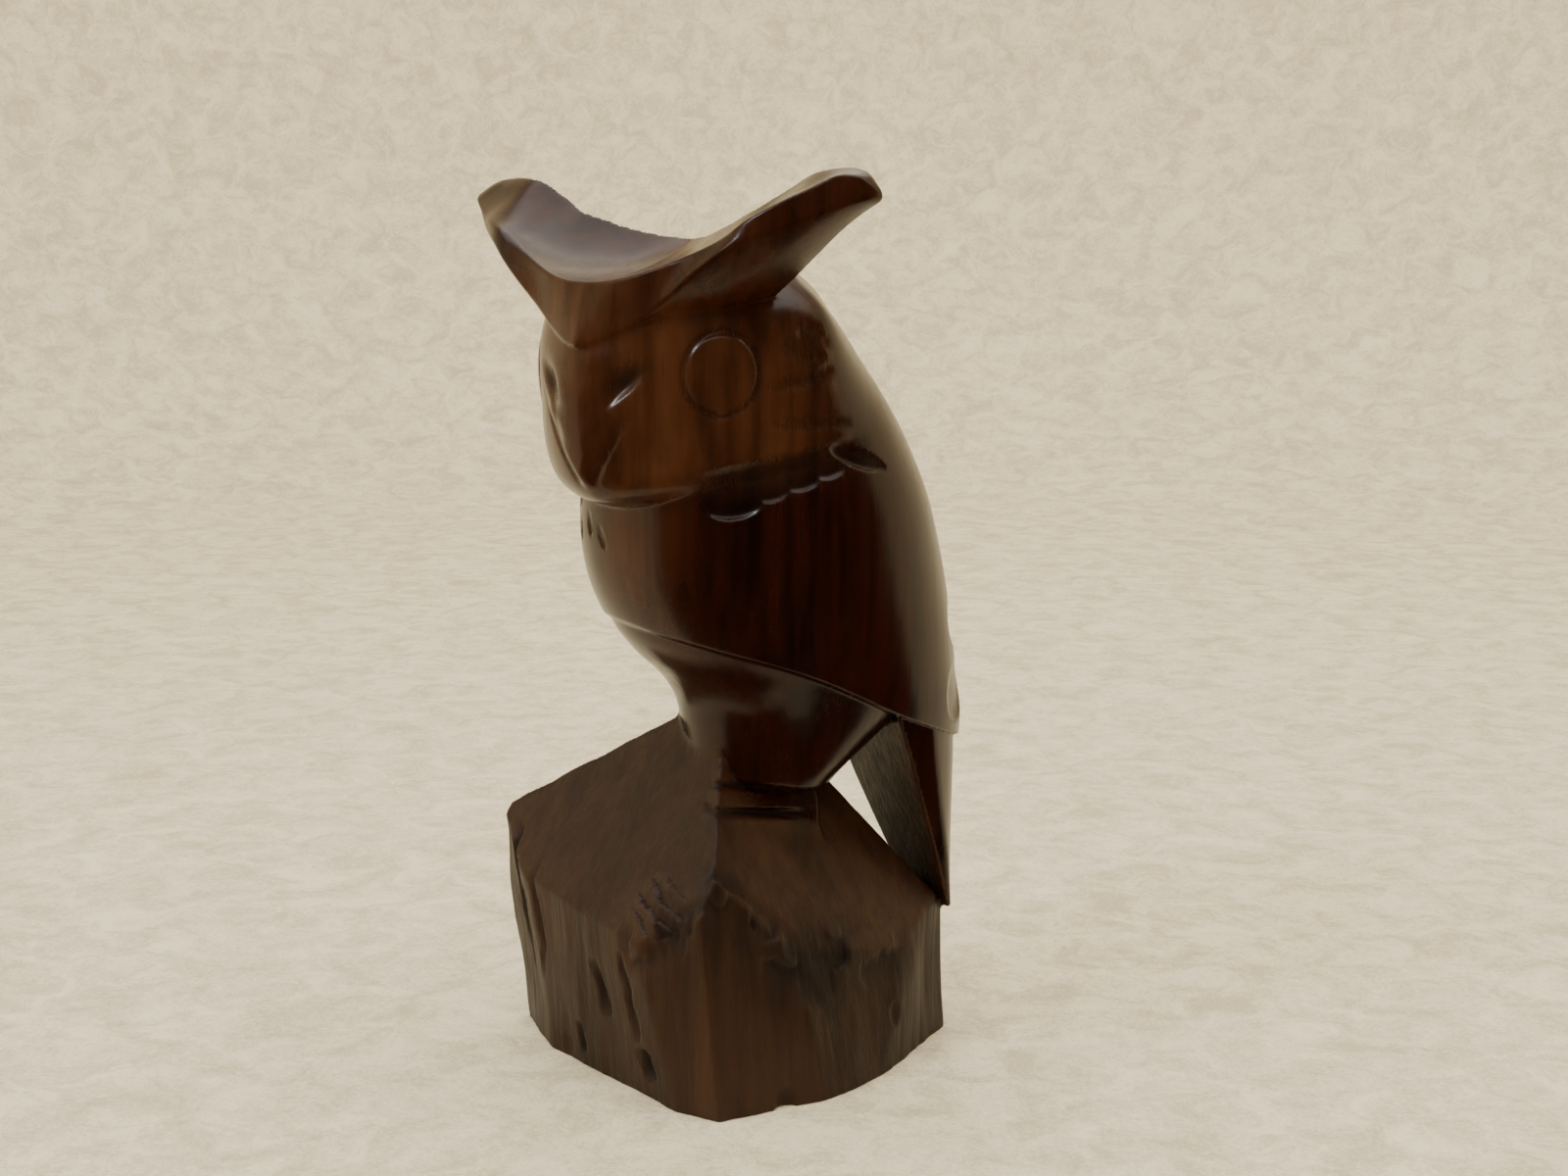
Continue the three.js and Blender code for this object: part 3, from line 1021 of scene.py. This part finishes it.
def wood_color(tree, fields, grain, warm, lighter_ridges, crevice, pores):
    """The colour of the wood from its grain and its warmth, made lighter on convex ridges and darker in
    the cuts and creases as painted shade.
    """
    cool_wood = mixed(tree, grain, DARK_WOOD, RED_WOOD)
    warm_wood = mixed(tree, grain, WARM_DARK, WARM_LIGHT)
    polished = mixed(tree, warm, cool_wood, warm_wood)
    dull_cool = mixed(tree, grain, DULL_DARK, DULL_LIGHT)
    dull = mixed(tree, maths(tree, "MULTIPLY", warm, 0.5), dull_cool, warm_wood)
    color = mixed(tree, fields["polish"], dull, polished)
    # Painted shade: the cuts are darkened with their depth.
    shade_in_cuts = maths(tree, "MULTIPLY", fields["hollow"], 0.65, clamp=True)
    color = mixed(tree, shade_in_cuts, color, DARK_WOOD)
    color = mixed(tree, lighter_ridges, color, WARM_LIGHT)
    # Painted shade in concave creases.
    color = mixed(tree, crevice, color, DARK_WOOD)
    return mixed(tree, ranged(tree, pores, 0.64, 0.78, 0.0, 0.25), color, DARK_WOOD)


def wood_roughness(tree, fields, streaks, crevice):
    """The roughness of the wood: low on the owl, higher on the base and in the cuts."""
    dull_rough = ranged(tree, streaks, 0.3, 0.7, 0.46, 0.62)
    shiny_rough = ranged(tree, streaks, 0.3, 0.7, 0.19, 0.27)
    by_polish = {0: fields["polish"], 2: dull_rough, 3: shiny_rough}
    roughness = add_node(tree, "Mix", by_polish, data_type="FLOAT").outputs[0]
    roughness = maths(tree, "ADD", roughness, maths(tree, "MULTIPLY", fields["hollow"], 0.12))
    return maths(tree, "ADD", roughness, maths(tree, "MULTIPLY", crevice, 0.4))


def wood_material():
    """Dark streaky hardwood: polished on the owl, dull and rough on the base."""
    material, tree, shader = new_material("carved_hardwood")
    place = add_node(tree, "TexCoord").outputs["Object"]
    fields = {
        name: add_node(tree, "Attribute", attribute_name=name).outputs["Fac"]
        for name in ("polish", "warmth", "hollow", "bend")
    }
    bands = stretched_noise(tree, place, *BAND_CELLS, detail=4.0, roughness=0.6, distortion=0.6)
    streaks = stretched_noise(tree, place, *STREAK_CELLS, detail=3.0, roughness=0.6)
    pores = stretched_noise(tree, place, *PORE_CELLS, detail=2.0, roughness=0.5)
    clouds = stretched_noise(tree, place, *CLOUD_CELLS, detail=2.0, roughness=0.5)

    grain = blended(tree, ranged(tree, bands, 0.3, 0.7), 0.8, ranged(tree, streaks, 0.25, 0.75), 0.2)
    cloudy = ranged(tree, clouds, 0.3, 0.7, 0.6, 1.5)
    warm = maths(tree, "MULTIPLY", fields["warmth"], cloudy, clamp=True)
    # Sharply convex ridges are made lighter and warmer.
    lighter_ridges = ranged(tree, fields["bend"], 0.8, 2.0, 0.0, 0.12)
    # Concave creases: darkened as painted shade, and made rougher.
    crevice = ranged(tree, fields["bend"], -1.8, -0.5, 0.5, 0.0)
    color = wood_color(tree, fields, grain, warm, lighter_ridges, crevice, pores)
    tree.links.new(color, shader.inputs["Base Color"])
    tree.links.new(wood_roughness(tree, fields, streaks, crevice), shader.inputs["Roughness"])

    relief = blended(tree, streaks, 0.6, pores, 0.4)
    strength = ranged(tree, fields["polish"], 0.0, 1.0, 0.5, 0.07)
    bump = add_node(tree, "Bump", {"Height": relief, "Strength": strength, "Distance": GRAIN_RELIEF})
    tree.links.new(bump.outputs[0], shader.inputs["Normal"])
    shader.inputs["IOR"].default_value = 1.34
    return material


def cloth_material():
    """Pale felted cloth."""
    material, tree, shader = new_material("pale_felt")
    place = add_node(tree, "TexCoord").outputs["Object"]
    mottle = stretched_noise(tree, place, 0.012, 0.012, 6.0, 0.7, 0.8)
    fibres = stretched_noise(tree, place, 0.0016, 0.0016, 4.0, 0.65, 2.0)
    shade = blended(tree, mottle, 0.6, fibres, 0.4)
    color = mixed(tree, ranged(tree, shade, 0.36, 0.62), CLOTH_DARK, CLOTH_LIGHT)
    tree.links.new(color, shader.inputs["Base Color"])
    bump = add_node(tree, "Bump", {"Height": shade, "Strength": 0.5, "Distance": 0.0012})
    tree.links.new(bump.outputs[0], shader.inputs["Normal"])
    shader.inputs["Roughness"].default_value = 0.95
    shader.inputs["Specular IOR Level"].default_value = 0
    return material


# The surroundings

SHEET_STEPS = 96
CURVE_STEPS = 12
FLOOR_MIDDLE = 0.002
FLOOR_FLAT = 0.62
FLOOR_CURVE = 0.35
FLOOR_WALL = 0.9
# The unlit side of the room in parts: the directions between which each lies, counted from +X,
# and how far from the owl it begins.
ROOM_PARTS = [(-88, -50, 0.055), (-50, -12, 0.045), (-12, 14, 0.065), (14, 38, 0.05), (38, 62, 0.06)]
ROOM_RADIUS = 0.6
ROOM_HEIGHT = 0.85
ROOM_LIFT = 0.002

WORLD_LIGHT = ((1.0, 0.97, 0.92), 0.8)  # colour, strength
# The lights: name, place, the point it is aimed at, size, power, colour.
LIGHTS = [
    ("overhead", (0.1, 0.05, 0.95), (0, 0, 0.08), 1.4, 11, (1.0, 0.96, 0.89)),
    ("window", (0.07, -0.56, 0.6), (0, 0, 0.12), 0.11, 1.9, (0.88, 0.95, 1.0)),
    ("backlight", (-0.52, 0.42, 0.62), (0, 0, 0.12), 0.5, 0.7, (1.0, 0.97, 0.92)),
]

CAMERA_PLACE = (0.37244, -0.18977, 0.159)
CAMERA_PITCH_DEG = 79.6
CAMERA_HEADING_DEG = 61.72
CAMERA_LENS = 58.5
CAMERA_SENSOR = 36
CAMERA_NEAREST = 0.01


def add_sheet(name, profile, from_deg, to_deg, material):
    """Part of the stage: a profile of radius and height turned about the upright axis."""
    turns = np.radians(np.linspace(from_deg, to_deg, SHEET_STEPS + 1))
    radius, height = np.array(profile, float).T[:, :, None]
    rows = np.stack([radius * np.cos(turns), radius * np.sin(turns), height + 0 * turns], axis=2)
    number = np.arange(rows.shape[0] * rows.shape[1]).reshape(rows.shape[:2])
    corners = [number[:-1, :-1], number[1:, :-1], number[1:, 1:], number[:-1, 1:]]
    sheet = mesh_object(name, rows.reshape(-1, 3), np.stack(corners, axis=2).reshape(-1, 4))
    sheet.data.polygons.foreach_set("use_smooth", np.ones(len(sheet.data.polygons), bool))
    sheet.data.materials.append(material)
    return sheet


def add_floor():
    """A round cloth that lies flat under the owl and rises in a smooth curve all round."""
    profile = [(FLOOR_MIDDLE, 0), (0.2, 0), (0.4, 0), (FLOOR_FLAT, 0)]
    for i in range(1, CURVE_STEPS + 1):
        angle = math.radians(90 * i / CURVE_STEPS)
        profile.append((FLOOR_FLAT + FLOOR_CURVE * math.sin(angle), FLOOR_CURVE * (1 - math.cos(angle))))
    profile.append((FLOOR_FLAT + FLOOR_CURVE, FLOOR_CURVE + FLOOR_WALL))
    add_sheet("floor", profile, 0, 360, cloth_material())


def add_room():
    """The unlit side of the room behind the camera, seen only as the dark reflection in the polish."""
    material, _, shader = new_material("unlit_room")
    shader.inputs["Base Color"].default_value = (*ROOM_COLOR, 1)
    shader.inputs["Roughness"].default_value = 1
    shader.inputs["Specular IOR Level"].default_value = 0
    for number, (from_deg, to_deg, start) in enumerate(ROOM_PARTS, 1):
        profile = [(start, ROOM_LIFT), (ROOM_RADIUS, ROOM_LIFT), (ROOM_RADIUS, ROOM_HEIGHT)]
        part = add_sheet(f"room_{number}", profile, from_deg, to_deg, material)
        part.visible_camera = False
        part.visible_diffuse = False
        part.visible_shadow = False


def add_area_light(name, place, target, size, power, color):
    """A square soft light aimed at a point."""
    light = bpy.data.lights.new(name, "AREA")
    light.size = size
    light.energy = power
    light.color = color
    obj = bpy.data.objects.new(name, light)
    obj.location = place
    direction = np.array(target) - np.array(place)
    pitch = math.atan2(math.hypot(direction[0], direction[1]), -direction[2])
    heading = math.atan2(direction[1], direction[0]) - math.pi / 2
    obj.rotation_euler = (pitch, 0, heading)
    obj.visible_camera = False
    bpy.context.scene.collection.objects.link(obj)


def add_lights():
    """Soft light from all round, a broad light overhead, a small window and a weak light behind."""
    world = bpy.data.worlds.new("studio")
    world.use_nodes = True
    background = world.node_tree.nodes["Background"]
    color, strength = WORLD_LIGHT
    background.inputs["Color"].default_value = (*color, 1)
    background.inputs["Strength"].default_value = strength
    bpy.context.scene.world = world
    for light in LIGHTS:
        add_area_light(*light)


def add_camera():
    """The photograph's own point of view."""
    camera = bpy.data.cameras.new("camera")
    camera.sensor_width = CAMERA_SENSOR
    camera.lens = CAMERA_LENS
    camera.clip_start = CAMERA_NEAREST
    obj = bpy.data.objects.new("camera", camera)
    obj.location = CAMERA_PLACE
    obj.rotation_euler = (math.radians(CAMERA_PITCH_DEG), 0, math.radians(CAMERA_HEADING_DEG))
    bpy.context.scene.collection.objects.link(obj)
    bpy.context.scene.camera = obj


add_camera()
add_lights()
add_floor()
add_room()

owl = carve()
owl.data.materials.append(wood_material())
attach(owl, "root")
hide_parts("carved_owl")
